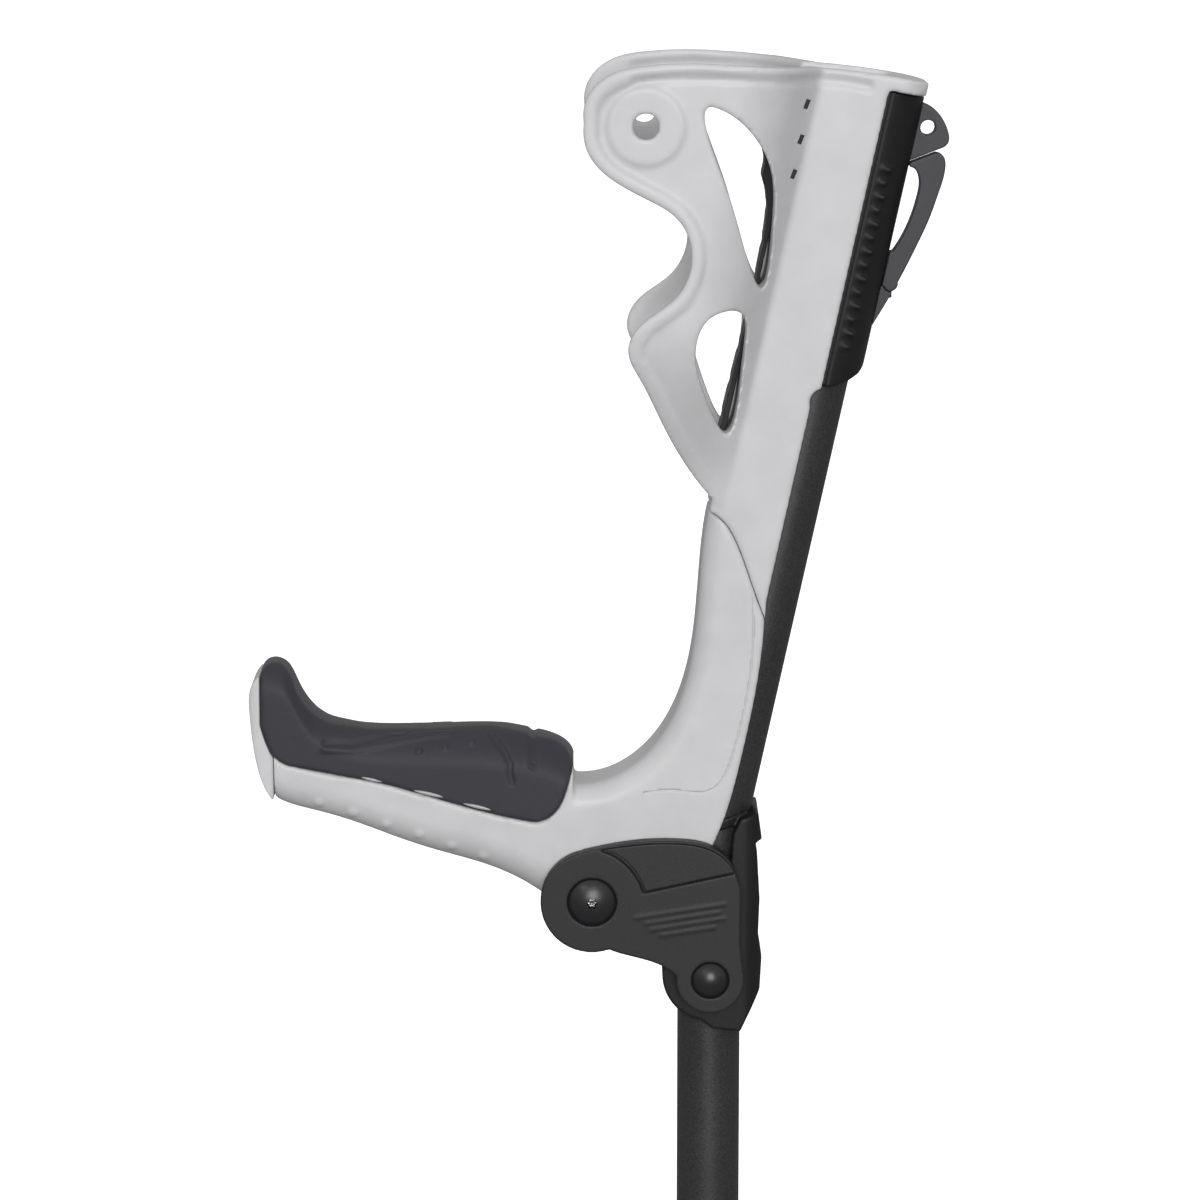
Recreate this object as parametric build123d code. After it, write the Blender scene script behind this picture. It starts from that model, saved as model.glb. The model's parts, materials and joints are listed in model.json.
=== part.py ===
"""Forearm crutch with a sprung handle unit, one STEP file per piece.

Millimetres, +Z up. The origin is the centre of the ferrule's tread on the ground, the lower tube's
axis is the Z axis, the hand grip points along -X and the crutch is symmetric about Y = 0.
"""
import os
from math import cos, radians, sin

from build123d import *

# ---------------------------------------------------------------- tubes
TUBE_R = 12.5
TUBE_BORE_R = 11.3
LEG_R = 11.0
LEG_BORE_R = 9.8
SLANT = 12.2  # lean of the upper tube from the vertical, degrees
BEND_START_Z = 801.5
BEND_RADIUS = 256.0
TUBE_BOTTOM_Z = 340.0
TUBE_TOP_S = 282.0  # along the slanted axis from the elbow point
ELBOW = (0.0, 829.0)  # where the two straight axes of the bent tube cross, X and Z
HOLE_PITCH = 25.0
HOLE_COUNT = 7
BUTTON_Z = 470.0
BUTTON_R = 4.0
BUTTON_HOLE_R = 4.25
LEG_TOP_Z = 515.0
LEG_BOTTOM_Z = 14.0

# ---------------------------------------------------------------- knuckle
LOWER_PIVOT = (0.0, 782.0)
FRONT_PIVOT = (-46.6, 813.7)
PIN_R = 4.0
PIN_BUSH_CLEARANCE = 0.06
BUSH_R = 5.5
BRACKET_HALF = 17.3
CHEEK_IN = 19.2
CHEEK_OUT = 25.6
COVER_DEPTH = 1.2
COVER_PROUD = 0.3
COVER_GROOVE = 0.9  # width of the groove along the cover's front and foot
RING_WALL = 1.8  # lip of the bracket round the tube
DOME_HEIGHT = 3.0  # of a bolt head above its rim

# ---------------------------------------------------------------- handle unit
BEAM_HALF = 18.5
BEAM_FRONT_N = -30.5  # front face of the upright, measured from the slanted tube axis
BEAM_REAR_N = -1.0  # rear edge below the sleeve
BEAM_REAR_TOP_N = 1.6  # rear edge beside the sleeve
CHANNEL_R = 15.0
SLEEVE_BORE_R = 14.2
SLEEVE_R = 16.8
SLEEVE_SEAT_R = 16.0
SLEEVE_LOW_S = 193.0
SLEEVE_TOP_S = 309.4
CUFF_HALF = 45.0
CUFF_WALL = 3.6
BEAD_HEIGHT = 1.2
SEAT_HALF = 11.0
WING_REACH_N = -125.0
WING_SHOULDER_N = -58.0
WING_HEEL_N = -25.0
WING_CLEAR_HALF = 80.0  # wider than the cuff, for cutters
CAP_THICK = 6.5  # top plate over the sleeve
CAP_REAR_N = 16.5
FLARE_LOW_S = 126  # where the cuff starts to widen, and where it reaches its full width
FLARE_TOP_S = 204
GAP = 0.3  # air between separate pieces that do not touch

SEAM_GAP = 0.2
STRAP_HOLE = (-26.1, 1119.5)
STRAP_HOLE_R = 5.0
CLIP_PIN = (69.6, 1055.4)
CLIP_PIN_R = 1.2
CLIP_HALF = 4.0
CLIP_EAR_R = 2.6
CLIP_HOLLOW_R = 3.2  # hollow round the pin between the clip and its base
EYE_TENON_S = 295.0
BASE_TENON_S = 225.0
CLIP_SLOT_HALF = 1.8  # slot between the clip's two ears, for the lug of its base
EYE_HOLE = (83.1, 1116.0)
EYE_HOLE_R = 2.9
# X, underside Z, top Z and half width of the handle moulding, from its root to its front end
HANDLE_STATIONS = (
    (-54, 805.5, 874, 18.4),
    (-67, 813.2, 878, 17.9),
    (-79, 820.2, 881, 17.2),
    (-104, 828.6, 881, 15.6),
    (-130, 837.3, 880, 14.6),
    (-152, 844.8, 883, 14),
    (-172, 851.4, 892, 13.6),
)
# the same for the rubber grip, which rises to its stop at the front
GRIP_STATIONS = (
    (-53, 811, 873.5, 19),
    (-66, 815, 879.2, 18.8),
    (-81, 820, 881.6, 18.3),
    (-104, 828, 881.6, 16.7),
    (-124, 835, 881.3, 15.8),
    (-140, 840, 882.2, 15.4),
    (-150, 843, 885.4, 15.1),
    (-156, 845, 889.3, 14.9),
    (-160, 847, 894.6, 14.8),
    (-163.5, 848, 901.2, 14.6),
    (-167, 849, 907, 14.5),
    (-172, 851, 909, 14.4),
    (-177, 853, 909, 14.3),
)
NECK_ROUND = 8.0  # radius on the long front edges of the neck
GRIP_CORE_INSET = 4.0
GRIP_CORE_DROP = 7.0

UPPER = Plane(
    origin=(ELBOW[0], 0, ELBOW[1]),
    x_dir=(cos(radians(SLANT)), 0, -sin(radians(SLANT))),
    z_dir=(sin(radians(SLANT)), 0, cos(radians(SLANT))),
)
SIDE = Plane.XZ  # local x is +X, local y is +Z, normal is -Y


def side_slab(outline, half):
    """A side-view face made into a slab from Y = -half to Y = +half."""
    return extrude(SIDE * outline, half, both=True)


def side_layer(outline, y_low, y_high):
    """A side-view face made into a layer between two Y values."""
    return Pos(0, y_high, 0) * extrude(SIDE * outline, y_high - y_low)


def rod_y(point, radius, y_low, y_high):
    """A round bar along Y through a point given as X and Z."""
    return side_layer(Pos(*point) * Circle(radius), y_low, y_high)


def upper_rod(radius, s_low, s_high):
    """A round bar on the slanted tube axis between two distances from the elbow."""
    return UPPER * Pos(0, 0, s_low) * extrude(Circle(radius), s_high - s_low)


def upper_point(n, s):
    """X and Z of a point n behind the slanted axis and s up it."""
    return (
        ELBOW[0] + n * UPPER.x_dir.X + s * UPPER.z_dir.X,
        ELBOW[1] + n * UPPER.x_dir.Z + s * UPPER.z_dir.Z,
    )


def closed_spline(points):
    return make_face(Spline(*points, periodic=True))


def polygon(points):
    return make_face(Polyline(*points, close=True))


def tube_path():
    """Axis of the bent tube from its lower end to its upper end."""
    low = Line((0, 0, TUBE_BOTTOM_Z), (0, 0, BEND_START_Z))
    bend_end = (
        BEND_RADIUS * (1 - cos(radians(SLANT))),
        BEND_START_Z + BEND_RADIUS * sin(radians(SLANT)),
    )
    middle = (
        BEND_RADIUS * (1 - cos(radians(SLANT / 2))),
        BEND_START_Z + BEND_RADIUS * sin(radians(SLANT / 2)),
    )
    bend = ThreePointArc(
        (0, 0, BEND_START_Z), (middle[0], 0, middle[1]), (bend_end[0], 0, bend_end[1])
    )
    top = upper_point(0, TUBE_TOP_S)
    high = Line((bend_end[0], 0, bend_end[1]), (top[0], 0, top[1]))
    return Wire([low, bend, high])


def bent_bar(radius):
    """A solid bar of the given radius along the whole tube axis."""
    return sweep(Pos(0, 0, TUBE_BOTTOM_Z) * Circle(radius), path=tube_path())


# ================================================================ fixed shaft
def main_tube():
    tube = bent_bar(TUBE_R) - bent_bar(TUBE_BORE_R)
    for step in range(HOLE_COUNT):
        z = BUTTON_Z + (step - HOLE_COUNT // 2) * HOLE_PITCH
        tube -= Pos(0, 0, z) * Rot(0, 90, 0) * extrude(Circle(BUTTON_HOLE_R), TUBE_R + 1)
    tube -= rod_y(LOWER_PIVOT, PIN_R + 0.1, -TUBE_R - 1, TUBE_R + 1)
    return tube


def tube_collar():
    """Plastic collar pressed over the lower end of the outer tube."""
    height = 26.0
    lip = 5.0
    inner_lip_r = LEG_R + 0.08
    body = Pos(0, 0, TUBE_BOTTOM_Z - lip) * extrude(Circle(TUBE_R + 2.6), height)
    body = chamfer(body.edges().group_by(Axis.Z)[0], 1.5)
    body = chamfer(body.edges().group_by(Axis.Z)[-1], 1.2)
    body -= Pos(0, 0, TUBE_BOTTOM_Z) * extrude(Circle(TUBE_R + 0.05), height)
    body -= Pos(0, 0, TUBE_BOTTOM_Z - lip - 1) * extrude(Circle(inner_lip_r), lip + 2)
    return body


def guide_plug():
    """Crowned cap on the top of the tube that runs inside the guide sleeve."""
    spigot = upper_rod(TUBE_BORE_R - 0.05, TUBE_TOP_S - 14, TUBE_TOP_S + 1)
    crown = upper_rod(SLEEVE_BORE_R - 0.4, TUBE_TOP_S, TUBE_TOP_S + 9)
    crown = fillet(crown.edges().filter_by(GeomType.CIRCLE), 2.0)
    relief = upper_rod(7.0, TUBE_TOP_S - 15, TUBE_TOP_S + 5)
    return spigot + crown - relief


def knuckle_bracket():
    """Moulding clamped on the bend: pivot eye below, above it a half shell with a lip round the tube."""
    shell = polygon(
        [
            (12, 845),
            (19, 847.5),
            (20.6, 836),
            (17.6, 835),
            (18.6, 832),
            (19.8, 812),
            (19.2, 797),
            (20.8, 788),
            (20, 775),
            (12.2, 758.7),
            (1, 760),
            (-12.5, 770),
            (0, 800),
            (8, 803),
            (8.2, 828.6),
            (9, 838.7),
        ]
    )
    eye = Pos(*LOWER_PIVOT) * Circle(18.8)
    block = side_slab(shell, BRACKET_HALF) + side_slab(eye, BRACKET_HALF)
    rounding = Pos(0, 0, 750) * extrude(
        Pos(-4, 0) * RectangleRounded(50, 2 * BRACKET_HALF, 8.5), 110
    )
    block &= rounding
    lip = polygon([(1, 838.9), (14, 842.8), (14, 847.2), (1, 843.3)])
    block += bent_bar(TUBE_R + RING_WALL) & side_slab(lip, BRACKET_HALF)
    block -= bent_bar(TUBE_R + 0.05)
    block -= rod_y(LOWER_PIVOT, PIN_R + 0.05, -BRACKET_HALF - 1, BRACKET_HALF + 1)
    return block


def dome_head(point, radius, y_face, height, out):
    """Domed round head standing on the plane Y = y_face, bulging to the side given by out."""
    sphere_r = (radius**2 + height**2) / (2 * height)
    rim = 1.4
    centre_y = y_face + out * (rim + height - sphere_r)
    ball = Pos(point[0], centre_y, point[1]) * Sphere(sphere_r)
    far_y = y_face + out * (rim + height + 1)
    drum = rod_y(point, radius, min(y_face, far_y), max(y_face, far_y))
    return ball & drum


def pivot_bolt(point, head_r, recess):
    """Domed bolt along Y, head on the -Y side."""
    seat = CHEEK_OUT - recess
    return rod_y(point, PIN_R, -seat, seat + 1) + dome_head(point, head_r, -seat, DOME_HEIGHT, -1)


def socket_bolt(point, head_r, recess):
    """Domed bolt with a six-lobed socket."""
    core_r = 1.6
    socket = Circle(core_r)
    for spot in PolarLocations(core_r + 0.1, 6):
        socket += spot * Circle(0.55)
    seat = CHEEK_OUT - recess
    hole = side_layer(Pos(*point) * socket, -seat - 6, -seat - 1.6)
    return pivot_bolt(point, head_r, recess) - hole


def pivot_nut(point, head_r, recess):
    """Domed cap nut on the +Y side with a blind bore for the bolt."""
    seat = CHEEK_OUT - recess
    bore = rod_y(point, PIN_R + 0.02, seat - 1, seat + 1.2)
    return dome_head(point, head_r, seat, DOME_HEIGHT, 1) - bore


# ================================================================ telescopic leg
def inner_tube():
    tube = Pos(0, 0, LEG_BOTTOM_Z) * extrude(
        Circle(LEG_R) - Circle(LEG_BORE_R), LEG_TOP_Z - LEG_BOTTOM_Z
    )
    hole = Pos(0, 0, BUTTON_Z) * Rot(0, 90, 0) * extrude(Circle(BUTTON_HOLE_R), LEG_R + 1)
    return tube - hole


def snap_button():
    """Round button standing out of the tubes, with a shoulder that stops it inside the leg."""
    pin = Pos(LEG_BORE_R - 3, 0, BUTTON_Z) * Rot(0, 90, 0) * extrude(Circle(BUTTON_R), 9)
    pin = fillet(pin.edges().group_by(Axis.X)[-1], 1.6)
    shoulder = Pos(LEG_BORE_R - 5.5, 0, BUTTON_Z) * Rot(0, 90, 0) * extrude(Circle(5.6), 2.8)
    return pin + shoulder


def button_spring():
    """Hairpin leaf spring inside the leg that pushes the button out."""
    thick = 0.7
    left = -LEG_BORE_R + 1.6
    right = LEG_BORE_R - 5.5 - GAP - thick
    low = BUTTON_Z - 8
    bend = BUTTON_Z + 26
    outline = Polyline(
        (left, low),
        (left, bend - 6),
        (left + 3, bend),
        (right - 3, bend),
        (right, bend - 6),
        (right, low),
    )
    strip = trace(outline, line_width=thick)
    return side_slab(strip, 3.5)


def ferrule():
    """Ribbed rubber foot on the end of the leg."""
    profile = Polyline(
        (0, 0),
        (21, 0),
        (22.5, 2),
        (22.5, 6),
        (20, 9),
        (16.5, 13),
        (15.2, 20),
        (15.2, 24),
        (16.2, 26),
        (15.2, 28),
        (15.2, 34),
        (16.2, 36),
        (15.2, 38),
        (15.0, 50),
        (13.6, 52),
        (0, 52),
        close=True,
    )
    foot = revolve(SIDE * make_face(profile), Axis.Z)
    foot -= Pos(0, 0, LEG_BOTTOM_Z - 2) * extrude(Circle(LEG_R), 60)
    for ring_r in (8.0, 12.5, 17.0):
        foot -= Pos(0, 0, -1) * extrude(Circle(ring_r + 0.9) - Circle(ring_r - 0.9), 2.6)
    return foot


def ferrule_washer():
    """Steel disc under the end of the tube, inside the ferrule."""
    return Pos(0, 0, LEG_BOTTOM_Z - 1.9) * extrude(Circle(LEG_R - 0.1), 1.8)


# ================================================================ suspension lever
def cheek_outline():
    top = Spline((-50, 834), (-28, 838), (-12, 838.3), (-2, 836.7), (5.6, 832.3), (9.5, 826), (12, 817))
    rear = Line((12, 817), (11.6, 797))
    heel = Line((11.6, 797), (13.2, 783))
    sole = Line((13.2, 783), (-12.9, 783))
    belly = Spline((-12.9, 783), (-18, 787.3), (-28, 791), (-40, 794.6))
    throat = Line((-40, 794.6), (-50, 834))
    blade = make_face([top, rear, heel, sole, belly, throat])
    return blade + Pos(*FRONT_PIVOT) * Circle(20.3) + Pos(*LOWER_PIVOT) * Circle(13.3)


def cover_outline():
    """The upper part of a cheek, above a line that drops behind the front boss and runs back."""
    front = Spline((-45, 834.6), (-37.6, 832), (-31.7, 827), (-26.6, 817.3))
    foot = Line((-26.6, 817.3), (9.4, 825.2))
    back = Spline((9.4, 825.2), (5, 831.5), (-2.4, 835.6), (-12, 837.2), (-28, 836.9), (-45, 834.6))
    return make_face([front, foot, back])


def suspension_lever():
    """Two cheeks joined by a web under the handle; swings on the bracket."""
    lever = None
    for side in (-1, 1):
        near, far = sorted((side * CHEEK_IN, side * CHEEK_OUT))
        cheek = side_layer(cheek_outline(), near, far)
        skin_near, skin_far = sorted((side * (CHEEK_OUT - COVER_DEPTH), side * (CHEEK_OUT + 1)))
        cheek -= side_layer(cover_outline(), skin_near, skin_far)
        for point, recess_r, recess in ((FRONT_PIVOT, 9.7, 2.4), (LOWER_PIVOT, 7.4, 2.0)):
            floor, mouth = sorted((side * (CHEEK_OUT - recess), side * (CHEEK_OUT + 1)))
            cheek -= rod_y(point, recess_r, floor, mouth)
        cheek -= rod_y(LOWER_PIVOT, BUSH_R, near - 1, far + 1)
        cheek -= rod_y(FRONT_PIVOT, PIN_R + 0.05, near - 1, far + 1)
        lever = cheek if lever is None else lever + cheek
    web = polygon([(-38, 794.1), (-20.2, 787.9), (-20.8, 791.8), (-37, 797.6)])
    return lever + side_slab(web, CHEEK_IN + 1)


def lever_cover(side):
    """Plate let into the upper part of a cheek, with a groove along its front and foot."""
    low, high = sorted((side * (CHEEK_OUT - COVER_DEPTH), side * (CHEEK_OUT + COVER_PROUD)))
    moved = Pos(COVER_GROOVE, COVER_GROOVE) * cover_outline()
    return side_layer(cover_outline() & moved, low, high)


def lower_pivot_bushes():
    """Two plain bushes pressed in the cheeks, running on the lower bolt."""
    pair = []
    for side in (-1, 1):
        low, high = sorted((side * (CHEEK_IN - 1.2), side * (CHEEK_OUT - 2.2)))
        bush = rod_y(LOWER_PIVOT, BUSH_R, low, high)
        flange = sorted((side * (CHEEK_IN - 1.2), side * CHEEK_IN))
        bush += rod_y(LOWER_PIVOT, BUSH_R + 2, *flange)
        pair.append(bush - rod_y(LOWER_PIVOT, PIN_R + PIN_BUSH_CLEARANCE, low - 1, high + 1))
    return Compound(pair)


def damper_block():
    """Rubber block between the lever's web and the underside of the handle unit."""
    block = polygon([(-33.5, 796.8), (-22.2, 792.8), (-22.2, 808.9), (-29.6, 808.3), (-33.5, 801.3)])
    return side_slab(block, 13)


# ================================================================ handle unit
def beam_pockets(s_low, s_high, count, front_n):
    """Row of pockets between ribs inside the upright, each open to the tube channel."""
    pitch = (s_high - s_low) / count
    cells = None
    for index in range(count):
        centre = Pos(front_n / 2, 0, s_low + (index + 0.5) * pitch)
        cell = UPPER * centre * Box(-front_n, 2 * (BEAM_HALF - 3.4), pitch - 2.6)
        cells = cell if cells is None else cells + cell
    return cells


def seam_curve():
    """Side view of the parting line between cuff moulding and handle moulding."""
    return Spline(
        upper_point(BEAM_FRONT_N, 136),
        (5.9, 962.8),
        (10.6, 954),
        (14, 944.8),
        (17.2, 935.4),
        upper_point(0, 99),
    )


def wing_outside(outer):
    """Outside of the cuff's U section on the +Y side, from its straight wall to the beam."""
    flare = (outer - BEAM_HALF) / (CUFF_HALF - BEAM_HALF)
    return Spline(
        (WING_SHOULDER_N, outer),
        (-36 + 2 * flare, BEAM_HALF + 0.55 * (outer - BEAM_HALF)),
        (WING_HEEL_N, BEAM_HALF),
        tangents=((1, 0), (1, -1.5 * flare)),
    )


def wing_section(s, outer):
    """Half of the cuff's U section at height s, on the +Y side, in the slanted frame."""
    inner = outer - CUFF_WALL - BEAD_HEIGHT
    flare = (outer - BEAM_HALF) / (CUFF_HALF - BEAM_HALF)
    bend_n = WING_SHOULDER_N - 4
    inside = Spline(
        (BEAM_FRONT_N, SEAT_HALF),
        (-43 + flare, SEAT_HALF + 0.67 * (inner - SEAT_HALF)),
        (bend_n, inner),
        tangents=((-0.3, 1), (-1, 0)),
    )
    edges = [
        Line((WING_REACH_N, outer), (WING_SHOULDER_N, outer)),
        wing_outside(outer),
        Line((WING_HEEL_N, BEAM_HALF), (WING_HEEL_N, SEAT_HALF)),
        Line((WING_HEEL_N, SEAT_HALF), (BEAM_FRONT_N, SEAT_HALF)),
        inside,
        Line((bend_n, inner), (WING_REACH_N, inner)),
        Line((WING_REACH_N, inner), (WING_REACH_N, outer)),
    ]
    return UPPER * Pos(0, 0, s) * make_face(edges)


def field_section(s, outer):
    """Everything outside the sunken field of a wing at height s, on the +Y side."""
    edges = [
        Line((WING_REACH_N, outer), (WING_SHOULDER_N, outer)),
        wing_outside(outer),
        Polyline(
            (WING_HEEL_N, BEAM_HALF),
            (WING_HEEL_N, WING_CLEAR_HALF),
            (WING_REACH_N, WING_CLEAR_HALF),
            (WING_REACH_N, outer),
        ),
    ]
    return UPPER * Pos(0, 0, s) * make_face(edges)


def cuff_half_width(s):
    """Outer half width of the cuff: as narrow as the beam low down, flaring to its full width."""
    share = min(max((s - FLARE_LOW_S) / (FLARE_TOP_S - FLARE_LOW_S), 0), 1)
    return BEAM_HALF + 0.6 + (CUFF_HALF - BEAM_HALF - 0.6) * share * share * (3 - 2 * share)


def cuff_wings():
    """Both wings, trimmed to their side view, with a raised bead left along every edge."""
    stations = range(FLARE_LOW_S - 12, 350, 18)
    wing = loft([wing_section(s, cuff_half_width(s) + BEAD_HEIGHT) for s in stations])
    wing &= side_slab(wing_outline(), CUFF_HALF + 5)
    field = loft([field_section(s, cuff_half_width(s)) for s in stations])
    wing -= field & side_slab(field_outline(), WING_CLEAR_HALF)
    return wing + mirror(wing, Plane.XZ)


def rim_line():
    """Side view of the cuff's top, from the front of the lobe to the rear end over the sleeve."""
    return Spline(
        (-49.6, 1121),
        (-46.8, 1133),
        (-38.5, 1139.6),
        (-26, 1142.4),
        (-6, 1143.2),
        (17, 1141.8),
        (45, 1139.6),
        (62, 1137.6),
        (83, 1133.6),
    )


def wing_outline():
    """Side view of a cuff wing: rim, front lobe, waist, lower lobe and the tail on the beam."""
    front = Spline(
        (-49.6, 1121),
        (-46.6, 1107),
        (-25.6, 1092),
        (-14, 1084.4),
        (-8.7, 1070),
        (-15.1, 1054.3),
        (-29.6, 1042.5),
        (-32.8, 1034.5),
        (-28.4, 1023.3),
        (-20.6, 1007),
        (-6, 981),
        (9, 965),
    )
    back = Polyline((9, 965), (34, 965), (83, 1133.6))
    return make_face([rim_line(), front, back])


def field_outline():
    """Side view of the sunken field, one bead's width inside the wing's own outline."""
    rim = Spline((-45, 1120), (-42, 1130.6), (-34, 1135.6), (-6, 1138.6), (38, 1135.2), (60, 1132.2))
    back = Polyline((60, 1132.2), (29, 969.5), (13, 969.5))
    front = Spline(
        (13, 969.5),
        (-1.7, 984),
        (-16.2, 1009.5),
        (-24, 1025),
        (-28, 1034),
        (-26, 1038.8),
        (-12, 1050.9),
        (-4.2, 1070.5),
        (-11, 1087.6),
        (-23.4, 1096.2),
        (-42.4, 1109.4),
        (-45, 1120),
    )
    return make_face([rim, back, front])


def upper_window():
    return closed_spline(
        [(0, 1126.6), (8, 1122.4), (20, 1106.5), (22.8, 1082), (18, 1056), (12, 1071), (3, 1100)]
    )


def lower_window():
    return closed_spline([(6, 1049), (-4, 1044), (-7, 1033), (-4, 1018), (4.6, 999.5), (12, 1032)])


def cuff_frame():
    """Upright beam and forearm cuff in one moulding."""
    top_s = SLEEVE_TOP_S + GAP
    beam_edges = [
        seam_curve(),
        Line(upper_point(BEAM_FRONT_N, 136), upper_point(BEAM_FRONT_N, top_s)),
        Line(upper_point(BEAM_FRONT_N, top_s), upper_point(BEAM_REAR_TOP_N, top_s)),
        Line(upper_point(BEAM_REAR_TOP_N, top_s), upper_point(BEAM_REAR_TOP_N, SLEEVE_LOW_S - 1)),
        Spline(
            upper_point(BEAM_REAR_TOP_N, SLEEVE_LOW_S - 1),
            upper_point(BEAM_REAR_TOP_N - 2.8, SLEEVE_LOW_S - 3.6),
            upper_point(BEAM_REAR_N, SLEEVE_LOW_S - 9),
        ),
        Line(upper_point(BEAM_REAR_N, SLEEVE_LOW_S - 9), upper_point(BEAM_REAR_N, 106)),
        Line(upper_point(BEAM_REAR_N, 106), upper_point(0, 99)),
    ]
    beam = side_slab(make_face(beam_edges), BEAM_HALF)
    shell = beam + sleeve_cap(top_s) + cuff_wings()
    for hand in (-1, 1):
        low, high = sorted((hand * (CUFF_HALF - CUFF_WALL), hand * (CUFF_HALF + 0.8)))
        shell += rod_y(STRAP_HOLE, 14.5, low, high)
    for window in (upper_window(), lower_window()):
        shell -= side_slab(window, CUFF_HALF + 8)
    shell -= upper_rod(CHANNEL_R, 90, SLEEVE_LOW_S)
    shell -= upper_rod(SLEEVE_SEAT_R + 0.05, SLEEVE_LOW_S - 0.5, top_s)
    shell -= beam_pockets(112, SLEEVE_TOP_S - 6, 6, BEAM_FRONT_N + 3.5)
    shell -= rim_scoop(top_s)
    return shell - rod_y(STRAP_HOLE, STRAP_HOLE_R, -CUFF_HALF - 5, CUFF_HALF + 5)


def sleeve_cap(top_s):
    """Top plate over the upright and the sleeve, its top following the rim of the cuff."""
    length = CAP_REAR_N - BEAM_FRONT_N
    plate = Pos(BEAM_FRONT_N + length / 2, 0) * Rectangle(length, 2 * BEAM_HALF)
    rear = Pos(CAP_REAR_N - length / 2, 0) * RectangleRounded(length + 1, 2 * BEAM_HALF, 10)
    cap = UPPER * Pos(0, 0, top_s) * extrude(plate & rear, CAP_THICK)
    below = Polyline((83, 1133.6), (83, 1100), (-49.6, 1100), (-49.6, 1121))
    return cap & side_slab(make_face([rim_line(), below]), BEAM_HALF + 1)


def rim_scoop(top_s):
    """Dish in the top of the upright that carries the forearm trough rearwards."""
    front_n = BEAM_FRONT_N - 2
    front_s = top_s - 4.5
    rear_n = 5
    rear_s = top_s + CAP_THICK + 0.5
    floor = Spline(
        (front_n, front_s), (-24, top_s - 2.4), (-16, top_s + 0.9), (-5, top_s + 2), (rear_n, rear_s)
    )
    over = Polyline((rear_n, rear_s), (rear_n, top_s + 20), (front_n, top_s + 20), (front_n, front_s))
    profile = Plane(UPPER.origin, x_dir=UPPER.x_dir, z_dir=(0, -1, 0)) * make_face([floor, over])
    return extrude(profile, BEAM_HALF - 4.5, both=True)


def forearm_pad():
    """Soft strip on the front of the upright, thicker towards its top, with two scallops."""
    back = Polyline(
        upper_point(BEAM_FRONT_N, 292), upper_point(BEAM_FRONT_N, 150), upper_point(-32.6, 150)
    )
    front = Spline(
        upper_point(-32.6, 150),
        upper_point(-32.4, 200),
        upper_point(-32.4, 240),
        upper_point(-33.6, 254),
        upper_point(-36.4, 263),
        upper_point(-38.6, 268),
        upper_point(-38.4, 272),
        upper_point(-40.4, 277),
        upper_point(-42, 284),
        upper_point(-41, 290),
        upper_point(BEAM_FRONT_N, 292),
    )
    pad = side_slab(make_face([back, front]), 10)
    rounded = Pos(BEAM_FRONT_N, 0) * RectangleRounded(30, 20, 6)
    return pad & UPPER * Pos(0, 0, 140) * extrude(rounded, 160)


def guide_sleeve():
    """Sleeve let into the back of the upright, its lower end cut back towards the rear."""
    rear = Circle(SLEEVE_R) & Pos(SLEEVE_R / 2 + 3.2, 0) * Rectangle(SLEEVE_R, 2 * SLEEVE_R)
    outer = Circle(SLEEVE_SEAT_R) + rear
    height = SLEEVE_TOP_S - SLEEVE_LOW_S
    sleeve = UPPER * Pos(0, 0, SLEEVE_LOW_S) * extrude(outer, height)
    heel = polygon(
        [
            upper_point(1.2, SLEEVE_LOW_S - 2),
            upper_point(11.6, SLEEVE_LOW_S + 3.6),
            upper_point(15.2, SLEEVE_LOW_S + 6.6),
            upper_point(18, SLEEVE_LOW_S + 12),
            upper_point(18, SLEEVE_LOW_S - 2),
        ]
    )
    sleeve -= side_slab(heel, SLEEVE_R + 1)
    sleeve -= upper_rod(SLEEVE_BORE_R, SLEEVE_LOW_S - 1, SLEEVE_TOP_S + 1)
    return sleeve - tenon(EYE_TENON_S, 0.05) - tenon(BASE_TENON_S, 0.05)


def tenon(s, clearance):
    """Block let into the sleeve's wall that holds a plate on the sleeve's back."""
    centre = Pos(SLEEVE_R - 0.9, 0, s)
    return UPPER * centre * Box(2 + clearance, 5 + 2 * clearance, 12 + 2 * clearance)


def hanging_eye():
    """Rounded plate with a round hole behind the top of the sleeve."""
    bow = Spline((80, 1125.7), (86.2, 1122.6), (90.5, 1115.8), (91.2, 1110.6), (89.3, 1108.4))
    foot = Polyline((89.3, 1108.4), (75.3, 1103), (60, 1110), (70, 1127), (80, 1125.7))
    plate = side_slab(make_face([bow, foot]), CLIP_HALF)
    plate -= upper_rod(SLEEVE_R + 0.02, EYE_TENON_S - 40, EYE_TENON_S + 40)
    plate += tenon(EYE_TENON_S, 0.0)
    return plate - rod_y(EYE_HOLE, EYE_HOLE_R, -CLIP_HALF - 1, CLIP_HALF + 1)


def clip_outline():
    """Side view of the clip and its base as one shape, without the hoop's opening."""
    back = Spline(
        (86.2, 1106.3),
        (89.4, 1104.8),
        (90, 1100),
        (87.5, 1090.6),
        (84.6, 1082.1),
        (80, 1071.7),
        (74.1, 1059.7),
        (67.4, 1047.6),
        (61.9, 1038.5),
    )
    inside = Polyline((61.9, 1038.5), (50, 1038.5), (68, 1099.4), (86.2, 1106.3))
    return make_face([back, inside])


def clip_opening():
    """Side view of the hoop's opening, reaching over the sleeve in front."""
    bow = Spline(
        (74, 1100.6), (78.2, 1100), (80.2, 1095), (79.6, 1090), (77.3, 1082), (73.5, 1073.5), (70, 1068)
    )
    inside = Polyline((70, 1068), (62, 1068), (66, 1100.6), (74, 1100.6))
    return make_face([bow, inside])


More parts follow.
